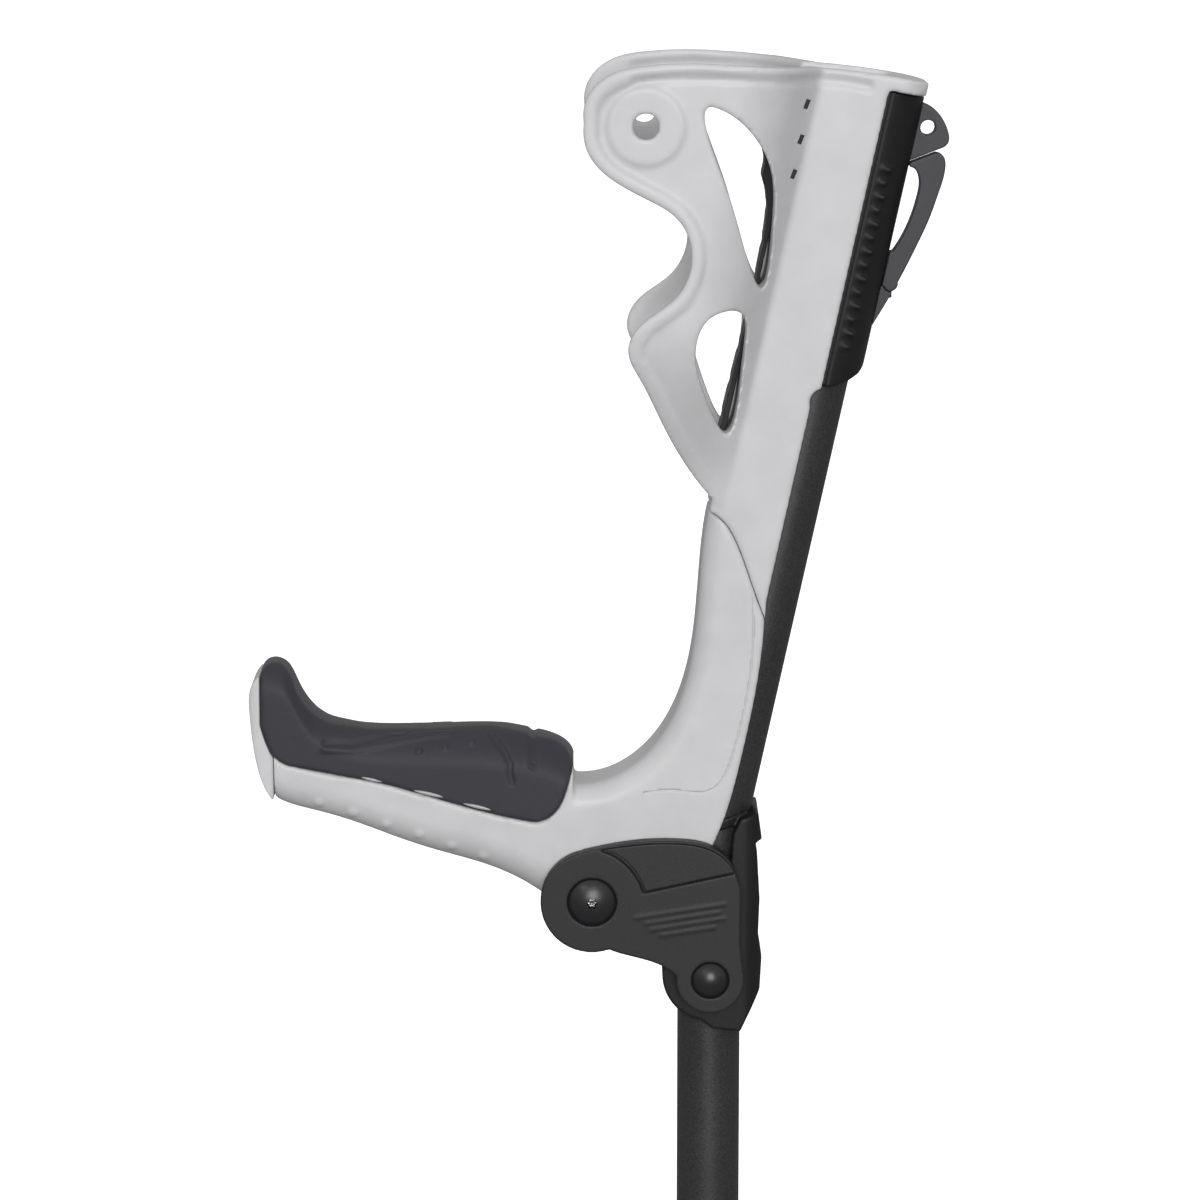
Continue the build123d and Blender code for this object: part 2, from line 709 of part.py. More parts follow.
def clip_lever():
    """Sprung hoop behind the sleeve: two ears on a pin below, top end under the hanging eye."""
    clip = side_slab(clip_outline() - clip_opening(), CLIP_HALF)
    clip -= side_slab(base_zone(0.3), CLIP_HALF + 1)
    clip -= upper_rod(SLEEVE_R + 0.4, SLEEVE_LOW_S, SLEEVE_TOP_S)
    clip += rod_y(CLIP_PIN, CLIP_EAR_R, -CLIP_HALF, CLIP_HALF)
    slot = polygon([(60, 1044), (72, 1047), (70.6, 1056.5), (62, 1060)])
    slot += Pos(*CLIP_PIN) * Circle(CLIP_HOLLOW_R)
    clip -= side_slab(slot, CLIP_SLOT_HALF)
    return clip - rod_y(CLIP_PIN, CLIP_PIN_R + 0.05, -CLIP_HALF + 0.8, CLIP_HALF - 0.8)


def base_zone(reach):
    """Everything below a hollow round the clip's pin, which the base fills."""
    below = polygon([(40, 1030), (90, 1030), (90, 1054.6), (40, 1054.6)])
    return below - Pos(*CLIP_PIN) * Circle(CLIP_HOLLOW_R - reach)


def clip_base():
    """Wedge on the sleeve's back with a lug that goes up between the clip's ears."""
    base = side_slab(clip_outline() & base_zone(0.0), CLIP_HALF)
    lug = Pos(*CLIP_PIN) * Circle(2.7) + polygon([(62, 1048), (70, 1050), CLIP_PIN, (63, 1056)])
    base += side_slab(lug, CLIP_SLOT_HALF - 0.2)
    base -= upper_rod(SLEEVE_R + 0.02, SLEEVE_LOW_S, SLEEVE_TOP_S)
    base += tenon(BASE_TENON_S, 0.0)
    return base - rod_y(CLIP_PIN, CLIP_PIN_R + 0.02, -CLIP_HALF, CLIP_HALF)


def clip_pin():
    """Short pin through the base's lug, its ends blind in the clip's ears."""
    return rod_y(CLIP_PIN, CLIP_PIN_R, -CLIP_HALF + 0.9, CLIP_HALF - 0.9)


def station_loft(stations, inset, drop, roundness=0.42, ruled=False):
    """Loft through the cross-sections of the handle or its grip, made smaller by two insets."""
    sections = []
    for x, low, high, half in stations:
        height = high - drop - low
        width = 2 * (half - inset)
        radius = roundness * min(height, width)
        face = Pos(0, low + height / 2) * RectangleRounded(width, height, radius)
        sections.append(Plane((x, 0, 0), x_dir=(0, 1, 0), z_dir=(1, 0, 0)) * face)
    return loft(sections, ruled=ruled)


def grip_edge():
    """Side view of the grip's lower edge and heel, from the front end to the top of the heel."""
    front = Spline((-177, 882), (-175.2, 876.3), (-173.2, 871.5), (-169.5, 867.7), (-163.8, 865.7))
    sole = Spline(
        (-163.8, 865.7), (-154, 863.7), (-130, 859.3), (-105.5, 852.6), (-85, 847.3), (-70, 844.3)
    )
    heel = Spline((-70, 844.3), (-61.2, 848.2), (-56.4, 858.5), (-53.8, 868))
    return [front, sole, heel]


def grip_pad():
    """Anatomical rubber grip wrapped over the handle, with an upturned stop at the front."""
    top = Spline(
        (-53.8, 868),
        (-56.8, 873.4),
        (-61.2, 876.2),
        (-68.4, 878.2),
        (-80.8, 880.8),
        (-105.7, 880.8),
        (-123.5, 880.5),
        (-136, 880.8),
        (-144, 882.1),
        (-151.5, 884.1),
        (-156.3, 887.4),
        (-160.2, 892),
        (-163.3, 897.8),
        (-166, 903.9),
        (-169.6, 907),
        (-174, 907),
        (-177, 903.7),
    )
    zone = make_face([*grip_edge(), top, Line((-177, 903.7), (-177, 882))])
    pad = station_loft(GRIP_STATIONS, 0, 0, roundness=0.46, ruled=True) & side_slab(zone, 30)
    return pad - station_loft(HANDLE_STATIONS, GRIP_CORE_INSET, GRIP_CORE_DROP)


def handle_end_cap():
    """Cap closing the front of the handle and backing the grip's upturned stop."""
    shell = Spline(
        (-172.15, 851.6),
        (-176.3, 858.4),
        (-178.6, 866),
        (-180.2, 875),
        (-181.4, 887),
        (-181, 896.4),
        (-177.15, 902.3),
    )
    back = Polyline(
        (-177.15, 902.3),
        (-177.15, 882),
        (-175.4, 876.2),
        (-173.4, 871.3),
        (-172.15, 869.2),
        (-172.15, 851.6),
    )
    cap = side_slab(make_face([shell, back]), 14)
    corners = Pos(-176, 0, 840) * extrude(RectangleRounded(14, 28, 5), 80)
    return cap & corners


def handle_frame():
    """Lower moulding: foot of the upright, shoulder, nose on the front pivot and handle core."""
    seam = seam_curve().moved(Pos(-0.06, -SEAM_GAP))
    front = Spline(seam @ 0, (-5.5, 928), (-9.5, 901), (-23, 873), (-40, 860.5), (-53, 858.5))
    under = Polyline(
        (-53, 858.5),
        (-56.4, 849.4),
        (-60, 843),
        (-62, 812),
        (-46, 797),
        (-30, 809.3),
        (-14, 809.3),
        (0.3, 833.3),
    )
    rear = Spline((0.3, 833.3), (6.3, 848.2), (11.9, 869.5), (19.1, 907), seam @ 1)
    shoulder = side_slab(make_face([seam, front, under, rear]), BEAM_HALF)
    neck = [
        edge
        for edge in shoulder.edges().filter_by_position(Axis.Z, 858, 970)
        if edge.center().X < -6 and edge.length > 60
    ]
    shoulder = fillet(neck, NECK_ROUND)
    frame = shoulder + rod_y(FRONT_PIVOT, 17, -BEAM_HALF, BEAM_HALF)
    over = Polyline((-53.8, 868), (-50, 930), (-177, 930), (-177, 882))
    cut = Pos(0.1, 0, -0.12) * side_slab(make_face([*grip_edge(), over]), 30)
    frame += station_loft(HANDLE_STATIONS, 0, 0) - cut
    frame += station_loft(HANDLE_STATIONS, GRIP_CORE_INSET + 0.1, GRIP_CORE_DROP + 0.1)
    frame -= bent_bar(CHANNEL_R)
    frame -= beam_pockets(36, 108, 3, -20)
    return frame - rod_y(FRONT_PIVOT, BUSH_R, -BEAM_HALF - 1, BEAM_HALF + 1)


def front_pivot_bush():
    """Bush through the nose of the handle moulding, running on the front bolt."""
    tube = Circle(BUSH_R - 0.02) - Circle(PIN_R + PIN_BUSH_CLEARANCE)
    return side_slab(Pos(*FRONT_PIVOT) * tube, BEAM_HALF + 0.4)


def write(name, shape):
    """Write one node as a STEP file."""
    export_step(shape, f"parts/{name}.step")
    box = shape.bounding_box()
    limits = [round(v, 1) for v in (*box.min, *box.max)]
    print(name, limits, len(shape.solids()), round(shape.volume / 1000, 1))


if __name__ == "__main__":
    os.makedirs("parts", exist_ok=True)
    write("main_tube", main_tube())
    write("tube_collar", tube_collar())
    write("guide_plug", guide_plug())
    write("knuckle_bracket", knuckle_bracket())
    write("lower_pivot_bolt", pivot_bolt(LOWER_PIVOT, 6.8, 2.0))
    write("lower_pivot_nut", pivot_nut(LOWER_PIVOT, 6.8, 2.0))
    write("inner_tube", inner_tube())
    write("snap_button", snap_button())
    write("button_spring", button_spring())
    write("ferrule", ferrule())
    write("ferrule_washer", ferrule_washer())
    write("suspension_lever", suspension_lever())
    write("lever_cover_right", lever_cover(-1))
    write("lever_cover_left", lever_cover(1))
    write("lower_pivot_bushes", lower_pivot_bushes())
    write("front_pivot_bolt", socket_bolt(FRONT_PIVOT, 9.0, 2.4))
    write("front_pivot_nut", pivot_nut(FRONT_PIVOT, 9.0, 2.4))
    write("damper_block", damper_block())
    write("cuff_frame", cuff_frame())
    write("forearm_pad", forearm_pad())
    write("guide_sleeve", guide_sleeve())
    write("hanging_eye", hanging_eye())
    write("clip_lever", clip_lever())
    write("clip_base", clip_base())
    write("clip_pin", clip_pin())
    write("handle_frame", handle_frame())
    write("front_pivot_bush", front_pivot_bush())
    write("handle_end_cap", handle_end_cap())
    write("grip_pad", grip_pad())
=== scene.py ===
import json
import math

import bmesh
import bpy
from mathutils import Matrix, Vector


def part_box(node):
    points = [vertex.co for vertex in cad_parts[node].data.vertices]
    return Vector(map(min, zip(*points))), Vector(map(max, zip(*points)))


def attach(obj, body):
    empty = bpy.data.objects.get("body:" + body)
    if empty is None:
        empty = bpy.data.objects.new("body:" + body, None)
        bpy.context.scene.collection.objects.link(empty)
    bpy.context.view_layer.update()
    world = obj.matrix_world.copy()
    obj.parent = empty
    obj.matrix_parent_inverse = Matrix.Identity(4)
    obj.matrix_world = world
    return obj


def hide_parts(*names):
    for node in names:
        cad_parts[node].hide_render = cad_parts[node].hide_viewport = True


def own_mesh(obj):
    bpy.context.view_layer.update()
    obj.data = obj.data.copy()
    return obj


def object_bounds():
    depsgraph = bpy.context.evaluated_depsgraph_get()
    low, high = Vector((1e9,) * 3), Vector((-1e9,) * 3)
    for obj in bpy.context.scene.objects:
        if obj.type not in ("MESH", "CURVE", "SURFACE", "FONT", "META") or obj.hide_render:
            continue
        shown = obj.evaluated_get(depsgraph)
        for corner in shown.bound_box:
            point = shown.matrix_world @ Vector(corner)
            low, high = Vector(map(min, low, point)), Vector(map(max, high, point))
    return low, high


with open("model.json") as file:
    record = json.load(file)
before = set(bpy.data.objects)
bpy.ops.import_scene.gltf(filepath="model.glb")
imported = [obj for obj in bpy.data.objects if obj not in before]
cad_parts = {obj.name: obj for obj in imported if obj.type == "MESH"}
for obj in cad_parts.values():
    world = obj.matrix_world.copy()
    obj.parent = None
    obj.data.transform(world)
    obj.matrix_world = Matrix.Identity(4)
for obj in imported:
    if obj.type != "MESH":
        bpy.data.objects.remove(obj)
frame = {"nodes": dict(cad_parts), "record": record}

CAD_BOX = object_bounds()
MM = 0.001
BODY_OF = {node: body for body, nodes in frame["record"]["behaviour"]["bodies"].items() for node in nodes}
SIDES = (-1, 1)  # the camera's side first
UPPER_LEAN = math.radians(12.2)  # how far the upper tube leans back
UPPER_FOOT_Z = 829  # where the upper tube's axis leaves the lower one's, mm


# ---------------------------------------------------------------- materials
def shader(name, colour, roughness, grain_mm, height_mm, fleck=0.75, **constants):
    """Principled material with a moulded or coated grain, flecks, faint blotches and uneven gloss.

    The grain is grain_mm wide and height_mm high, fleck is the tone of its darkest grains, and
    constants go straight on the shader's own sockets."""
    blotches_per_metre = 55
    material = bpy.data.materials.new(name)
    material.use_nodes = True
    nodes, links = material.node_tree.nodes, material.node_tree.links
    bsdf = nodes["Principled BSDF"]
    for socket, value in constants.items():
        bsdf.inputs[socket.replace("_", " ")].default_value = value

    place = nodes.new("ShaderNodeTexCoord")
    blotch = nodes.new("ShaderNodeTexNoise")
    blotch.inputs["Scale"].default_value = blotches_per_metre
    blotch.inputs["Detail"].default_value = 4
    links.new(place.outputs["Object"], blotch.inputs["Vector"])

    grain = nodes.new("ShaderNodeTexNoise")
    grain.inputs["Scale"].default_value = 1 / (grain_mm * MM)
    grain.inputs["Detail"].default_value = 2.5
    grain.inputs["Roughness"].default_value = 0.6
    links.new(place.outputs["Object"], grain.inputs["Vector"])

    tone = nodes.new("ShaderNodeValToRGB")
    tone.color_ramp.elements[0].position = 0.32
    tone.color_ramp.elements[1].position = 0.70
    tone.color_ramp.elements[0].color = (*[c * 0.95 for c in colour], 1)
    tone.color_ramp.elements[1].color = (*[min(c * 1.04, 1) for c in colour], 1)
    links.new(blotch.outputs["Fac"], tone.inputs["Fac"])

    flecks = nodes.new("ShaderNodeValToRGB")
    flecks.color_ramp.elements[0].position = 0.36
    flecks.color_ramp.elements[0].color = (fleck, fleck, fleck, 1)
    flecks.color_ramp.elements[1].position = 0.62
    flecks.color_ramp.elements[1].color = (1, 1, 1, 1)
    links.new(grain.outputs["Fac"], flecks.inputs["Fac"])
    speck = nodes.new("ShaderNodeMix")
    speck.data_type = "RGBA"
    speck.blend_type = "MULTIPLY"
    speck.inputs[0].default_value = 1.0
    links.new(tone.outputs["Color"], speck.inputs[6])
    links.new(flecks.outputs["Color"], speck.inputs[7])
    links.new(speck.outputs[2], bsdf.inputs["Base Color"])

    gloss = nodes.new("ShaderNodeMapRange")
    gloss.inputs["To Min"].default_value = max(roughness - 0.06, 0.05)
    gloss.inputs["To Max"].default_value = roughness + 0.08
    links.new(blotch.outputs["Fac"], gloss.inputs["Value"])
    links.new(gloss.outputs["Result"], bsdf.inputs["Roughness"])

    bump = nodes.new("ShaderNodeBump")
    bump.inputs["Strength"].default_value = 1.0
    bump.inputs["Distance"].default_value = height_mm * MM
    links.new(grain.outputs["Fac"], bump.inputs["Height"])
    links.new(bump.outputs["Normal"], bsdf.inputs["Normal"])
    return material


MATERIALS = {
    "tube_black": shader(
        "tube_coat", (0.036, 0.0355, 0.037),
        roughness=0.42, grain_mm=0.7, height_mm=0.06, fleck=0.45, Specular_IOR_Level=0.5,
    ),
    "leg_metal": shader(
        "leg_anodised", (0.20, 0.20, 0.215),
        roughness=0.30, grain_mm=0.25, height_mm=0.01, fleck=0.9, Metallic=0.9,
    ),
    "black_plastic": shader(
        "black_moulding", (0.022, 0.022, 0.0235),
        roughness=0.50, grain_mm=0.45, height_mm=0.04, fleck=0.7, Specular_IOR_Level=0.35,
    ),
    "light_plastic": shader(
        "light_moulding", (0.60, 0.595, 0.607),
        roughness=0.40, grain_mm=0.5, height_mm=0.006, fleck=0.985, Specular_IOR_Level=0.4,
    ),
    "grip_rubber": shader(
        "grip_rubber", (0.034, 0.034, 0.044),
        roughness=0.60, grain_mm=0.4, height_mm=0.03, fleck=0.85,
        Specular_IOR_Level=0.35, Sheen_Weight=0.08,
    ),
    "foot_rubber": shader(
        "foot_rubber", (0.020, 0.020, 0.021),
        roughness=0.72, grain_mm=0.6, height_mm=0.04, fleck=0.8, Sheen_Weight=0.08,
    ),
    "dark_plastic": shader(
        "dark_moulding", (0.044, 0.044, 0.050),
        roughness=0.48, grain_mm=0.45, height_mm=0.02, fleck=0.85, Specular_IOR_Level=0.35,
    ),
    "bolt_black": shader(
        "bolt_black", (0.018, 0.018, 0.020),
        roughness=0.32, grain_mm=0.3, height_mm=0.006, fleck=0.8, Specular_IOR_Level=0.5,
    ),
    "plain_steel": shader(
        "plain_steel", (0.36, 0.36, 0.355),
        roughness=0.32, grain_mm=0.2, height_mm=0.004, fleck=0.85, Metallic=1.0,
    ),
    "bush_plastic": shader(
        "bush_plastic", (0.16, 0.155, 0.14), roughness=0.40, grain_mm=0.4, height_mm=0.01, fleck=0.85
    ),
}
# Painted shade: a darker copy of the black moulding for the knuckle bracket and guide sleeve, which puts
# the darker look of these shaded parts into their colour.
SHADED_BLACK = shader(
    "shaded_black", (0.012, 0.012, 0.0125),
    roughness=0.48, grain_mm=0.5, height_mm=0.03, fleck=0.75, Specular_IOR_Level=0.28,
)
# Painted shade: a grey copy of the light moulding for the grip's eyelets, darker than the handle's own
# plastic.
SHADED_LENS_GREY = shader(
    "shaded_lens_grey", (0.40, 0.40, 0.42),
    roughness=0.30, grain_mm=0.4, height_mm=0.004, fleck=0.96, Specular_IOR_Level=0.5,
)
SLOT_OF = {part["node"]: part["material_slot"] for part in frame["record"]["subparts"]}


# ---------------------------------------------------------------- mesh helpers
def finished(obj, node, replaces=True, material=None):
    """Puts a piece on the body of a CAD node, in that node's material unless another is given."""
    slot = SLOT_OF[node]
    obj.data.materials.clear()
    obj.data.materials.append(material or MATERIALS[slot])
    for face in obj.data.polygons:
        face.use_smooth = True
    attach(obj, BODY_OF[node])
    if replaces:
        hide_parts(node)
    return obj


def baked(obj):
    """Applies an object's modifiers to its mesh."""
    evaluated = obj.evaluated_get(bpy.context.evaluated_depsgraph_get())
    mesh = bpy.data.meshes.new_from_object(evaluated)
    obj.modifiers.clear()
    obj.data = mesh
    return obj


def copy_of(node, name):
    """A welded copy of a CAD node's mesh as a new object."""
    obj = bpy.data.objects.new(name, frame["nodes"][node].data.copy())
    bpy.context.collection.objects.link(obj)
    shape = bmesh.new()
    shape.from_mesh(obj.data)
    weld_mm = 0.002
    bmesh.ops.remove_doubles(shape, verts=shape.verts, dist=weld_mm * MM)
    shape.to_mesh(obj.data)
    shape.free()
    return obj


def moulded(node, name, voxel_mm, rounds, add=()):
    """A copy of a CAD node, with any added tools joined on, and the small edge radii of a moulding."""
    obj = copy_of(node, name)
    for tool in add:
        join = obj.modifiers.new("add", "BOOLEAN")
        join.operation = "UNION"
        join.solver = "EXACT"
        join.object = tool
    remesh = obj.modifiers.new("remesh", "REMESH")
    remesh.mode = "VOXEL"
    remesh.voxel_size = voxel_mm * MM
    soften = obj.modifiers.new("soften", "SMOOTH")
    soften.factor = 0.5
    soften.iterations = rounds
    baked(obj)
    for tool in add:
        bpy.data.objects.remove(tool)
    return obj


def object_of(shape, name):
    """A new object of a bmesh, which is freed."""
    mesh = bpy.data.meshes.new(name)
    shape.to_mesh(mesh)
    shape.free()
    obj = bpy.data.objects.new(name, mesh)
    bpy.context.collection.objects.link(obj)
    return obj


def box_tool(centre, size, rotation=0.0):
    """A box in millimetres, turned about Y, to cut or join with."""
    shape = bmesh.new()
    bmesh.ops.create_cube(shape, size=1.0)
    bmesh.ops.scale(shape, vec=Vector(size) * MM, verts=shape.verts)
    tool = object_of(shape, "tool")
    tool.location = Vector(centre) * MM
    tool.rotation_euler = (0, rotation, 0)
    return tool


def joined(tools):
    """Several tools as one object, their places applied."""
    shape = bmesh.new()
    for tool in tools:
        bpy.context.view_layer.update()
        part = tool.data.copy()
        part.transform(tool.matrix_world)
        shape.from_mesh(part)
        bpy.data.meshes.remove(part)
        bpy.data.objects.remove(tool)
    return object_of(shape, "tools")


def bell(distance, width):
    """1 at distance 0, falling smoothly to 0 at the given width."""
    share = min(distance / width, 1.0)
    return (1 - share * share) ** 2


def line_distance(x, z, line):
    """Distance in the side view from a point to a run of points."""
    best = math.inf
    for (ax, az), (bx, bz) in zip(line, line[1:]):
        dx, dz = bx - ax, bz - az
        along = ((x - ax) * dx + (z - az) * dz) / (dx * dx + dz * dz)
        along = min(max(along, 0.0), 1.0)
        best = min(best, math.hypot(x - ax - along * dx, z - az - along * dz))
    return best


def sculpt(obj, marks):
    """Pushes the sides of a piece in or out along lines and at points of its side view.

    A mark is (points, width, height, least_y): millimetres, height below 0 presses in."""
    mesh = obj.data
    mesh.update()
    for vertex in mesh.vertices:
        x, y, z = (value / MM for value in vertex.co)
        shift = 0.0
        for points, width, height, least_y in marks:
            low_x = min(point[0] for point in points) - width
            high_x = max(point[0] for point in points) + width
            if not (low_x < x < high_x) or abs(y) < least_y:
                continue
            if len(points) == 1:
                distance = math.hypot(x - points[0][0], z - points[0][1])
            else:
                distance = line_distance(x, z, points)
            if distance < width:
                shift += height * bell(distance, width)
        if shift:
            vertex.co += vertex.normal * shift * MM
    mesh.update()


def groove_tool(runs, radius):
    """Round bars along runs of points, in millimetres, as one object to cut with."""
    bars = []
    for run in runs:
        curve = bpy.data.curves.new("groove", "CURVE")
        curve.dimensions = "3D"
        curve.bevel_depth = radius * MM
        curve.bevel_resolution = 1
        spline = curve.splines.new("NURBS")
        spline.points.add(len(run) - 1)
        for point, place in zip(spline.points, run):
            point.co = (*(value * MM for value in place), 1)
        spline.order_u = 3
        spline.use_endpoint_u = True
        curve.use_fill_caps = True
        line = bpy.data.objects.new("groove", curve)
        bpy.context.collection.objects.link(line)
        evaluated = line.evaluated_get(bpy.context.evaluated_depsgraph_get())
        mesh = bpy.data.meshes.new_from_object(evaluated)
        bpy.data.objects.remove(line)
        bar = bpy.data.objects.new("groove", mesh)
        bpy.context.collection.objects.link(bar)
        bars.append(bar)
    return joined(bars)


def carved(obj, tool):
    """Cuts a tool out of a finished shape."""
    carve = obj.modifiers.new("carve", "BOOLEAN")
    carve.operation = "DIFFERENCE"
    carve.solver = "EXACT"
    carve.object = tool
    baked(obj)
    bpy.data.objects.remove(tool)
    return obj


def ripple(obj, count, depth_mm, low_mm, high_mm):
    """Vertical ribs round a shape turned about Z, between two heights."""
    for vertex in obj.data.vertices:
        height = vertex.co.z / MM
        if low_mm < height < high_mm and vertex.normal.z > -0.5:
            out = Vector((vertex.co.x, vertex.co.y, 0))
            fade = math.sin(math.pi * (height - low_mm) / (high_mm - low_mm))
            wave = 0.5 + 0.5 * math.cos(count * math.atan2(out.y, out.x))
            vertex.co -= out.normalized() * (depth_mm * MM * wave * fade)
    obj.data.update()


# ---------------------------------------------------------------- pieces
def make_cuff():
    """Cuff and upright, with three slots through each shoulder that hold the forearm pad's tabs."""
    obj = moulded("cuff_frame", "cuff_shell", voxel_mm=0.95, rounds=3)
    lip = (
        (-30, 1136.4), (-18, 1137.8), (-6, 1138.2), (16, 1137.2),
        (38, 1135.4), (50, 1134.6), (59, 1132.8),
    )
    sculpt(obj, [(lip, 2.8, -0.9, 15)])
    slot_size = (1.9, 8, 3.8)
    tab_size = (1.7, 2.6, 3.6)
    tab_depth = 2.4  # from the skin to the tab's middle
    lean = math.radians(22)
    slots, tabs = [], []
    for x, z in ((35.4, 1126.4), (33.2, 1112.9), (30.6, 1099.6)):
        for side in SIDES:
            skin = abs(surface_y(obj, x, z, side))
            slots.append(box_tool((x, side * skin, z), slot_size, lean))
            tabs.append(box_tool((x, side * (skin - tab_depth), z), tab_size, lean))
    finished(carved(obj, joined(slots)), "cuff_frame")
    tab_piece = joined(tabs)
    tab_piece.name = "forearm_pad_tabs"
    bevel = tab_piece.modifiers.new("round", "BEVEL")
    bevel.width = 0.35 * MM
    bevel.segments = 2
    finished(baked(tab_piece), "forearm_pad", replaces=False)


def make_handle():
    """Handle moulding: a row of small nubs low on each flank, and the panel line behind the neck."""
    obj = moulded("handle_frame", "handle_shell", voxel_mm=0.95, rounds=6)
    nubs = (
        (-154.5, 850.9), (-141.2, 846.8), (-127.9, 842.3),
        (-115.0, 838.2), (-102.2, 833.6), (-89.7, 829.5),
    )
    sculpt(obj, [([nub], 2.8, 0.8, 5) for nub in nubs])
    panel = (
        (15.9, 941.0), (16.6, 926.0), (16.0, 907.4), (13.5, 891.3), (9.7, 875.0),
        (5.1, 861.0), (-1.5, 856.2), (-9.0, 856.8), (-17.7, 857.8), (-26.5, 856.2),
    )
    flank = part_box("handle_frame")[1][1] / MM
    runs = [[(x, side * flank, z) for x, z in panel] for side in SIDES]
    return finished(carved(obj, groove_tool(runs, radius=0.32)), "handle_frame")


def crown(obj, middle_mm, flank_mm, depth_mm, step_mm=2.0):
    """Rounds the top of a long piece: its flanks drop more than its middle line."""
    tops = {}
    for vertex in obj.data.vertices:
        column = round(vertex.co.x / MM / step_mm)
        tops[column] = max(tops.get(column, 0.0), vertex.co.z / MM)
    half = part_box("grip_pad")[1][1] / MM
    for vertex in obj.data.vertices:
        place = vertex.co.x / MM / step_mm
        column = math.floor(place)
        first = tops.get(column, tops[round(place)])
        second = tops.get(column + 1, tops[round(place)])
        top = first + (second - first) * (place - column)
        near = max(1 - (top - vertex.co.z / MM) / depth_mm, 0.0)
        drop = middle_mm + flank_mm * (vertex.co.y / MM / half) ** 2
        vertex.co.z -= drop * MM * near * near * (3 - 2 * near)
    obj.data.update()


def make_grip():
    """Rubber grip: a flowing ridge and three dots on each side, a crease behind them, a notch on top."""
    obj = moulded("grip_pad", "grip_rubber_pad", voxel_mm=0.72, rounds=10)
    crown(obj, middle_mm=0.8, flank_mm=3.2, depth_mm=18.0)
    ridge = ((-152, 873.0), (-140.8, 872.5), (-132, 874.1), (-121.3, 876.0), (-110.7, 877.8), (-103, 878.4))
    shade = [(x + 0.8, z + 2.2) for x, z in ridge[:-2]]
    crease = (
        (-86.3, 877.4), (-84.1, 875.6), (-80.6, 871.5),
        (-78.8, 867.5), (-79.0, 863.9), (-78.0, 860.3),
    )
    dots = ((-114.7, 872.0), (-104.5, 873.6), (-94.3, 875.4))
    least_y = 8  # keeps the marks off the top's middle
    marks = [
        (ridge, 2.0, 0.9, least_y),
        (shade, 2.2, -0.8, least_y),
        (crease, 1.6, -1.1, least_y),
        *[([dot], 1.8, 1.3, least_y) for dot in dots],
    ]
    sculpt(obj, marks)
    notch_x, notch_width, notch_depth = -70.0, 2.2, 1.1
    for vertex in obj.data.vertices:
        if vertex.normal.z > 0.35:
            vertex.co.z -= notch_depth * MM * bell(abs(vertex.co.x / MM - notch_x), notch_width)
    obj.data.update()
    return finished(obj, "grip_pad")


def surface_y(obj, x, z, side):
    """Where a line along Y through a point of the side view first meets a piece, in millimetres."""
    outside, usual_flank = 200.0, 15.0
    start = Vector((x, side * outside, z)) * MM
    hit, place, _, _ = obj.ray_cast(start, Vector((0, -side, 0)))
    return place.y / MM if hit else side * usual_flank


def bridged(shape, rings):
    """Faces between rings of as many points, and a fan where the last ring is a single point."""
    count = len(rings[0])
    for low, high in zip(rings, rings[1:]):
        for step in range(count):
            after = (step + 1) % count
            if len(high) == 1:
                shape.faces.new((low[step], low[after], high[0]))
            else:
                shape.faces.new((low[step], low[after], high[after], high[step]))
    shape.faces.new(rings[0])
    if len(rings[-1]) > 1:
        shape.faces.new(rings[-1])


def make_eyelets(grip):
    """Lens-shaped inserts along the grip's lower edge, in a grey copy of the light moulding: painted shade.
    """
    points = 24
    lean = math.radians(13)
    shape = bmesh.new()
    places = ((-133.3, 861.0, 4.2, 0.55), (-110.6, 855.4, 6.4, 0.7), (-91.2, 850.4, 6.2, 0.65))
    for x, z, half, tall in places:
        for side in SIDES:
            skin = surface_y(grip, x, z + 1.0, side)
            rings = []
            for share, proud in ((1.0, -0.6), (1.0, 0.15), (0.7, 0.35)):
                ring = []
                for step in range(points):
                    angle = math.tau * step / points
                    along = half * share * math.cos(angle)
                    across = tall * share * math.sin(angle) * abs(math.sin(angle)) ** 0.5
                    px = x + along * math.cos(lean) + across * math.sin(lean)
                    pz = z - along * math.sin(lean) + across * math.cos(lean)
                    ring.append(shape.verts.new(Vector((px, skin + side * proud, pz)) * MM))
                rings.append(ring)
            rings.append([shape.verts.new(Vector((x, skin + side * 0.4, z)) * MM)])
            bridged(shape, rings)
    bmesh.ops.recalc_face_normals(shape, faces=shape.faces)
    # The eyelets take the grey copy of the light moulding: painted shade.
    return finished(object_of(shape, "grip_eyelets"), "handle_frame", replaces=False, material=SHADED_LENS_GREY)


def make_lever():
    """Suspension lever with a block of fine raised bars on each cheek."""
    face_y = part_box("suspension_lever")[1][1] / MM
    top_z, pitch, rise = 810.4, 2.9, 0.16
    tilt = math.radians(-9)
    bars = []
    for side in SIDES:
        for row, (start, end) in enumerate(((-30, 6), (-26, 4), (-24, 6), (-20, 2))):
            middle = (start + end) / 2
            z = top_z - pitch * row + rise * (middle + 11)
            bars.append(box_tool((middle, side * face_y, z), (end - start, 0.4, 1.2), tilt))
    obj = moulded("suspension_lever", "lever_shell", voxel_mm=0.5, rounds=3, add=(joined(bars),))
    return finished(obj, "suspension_lever")


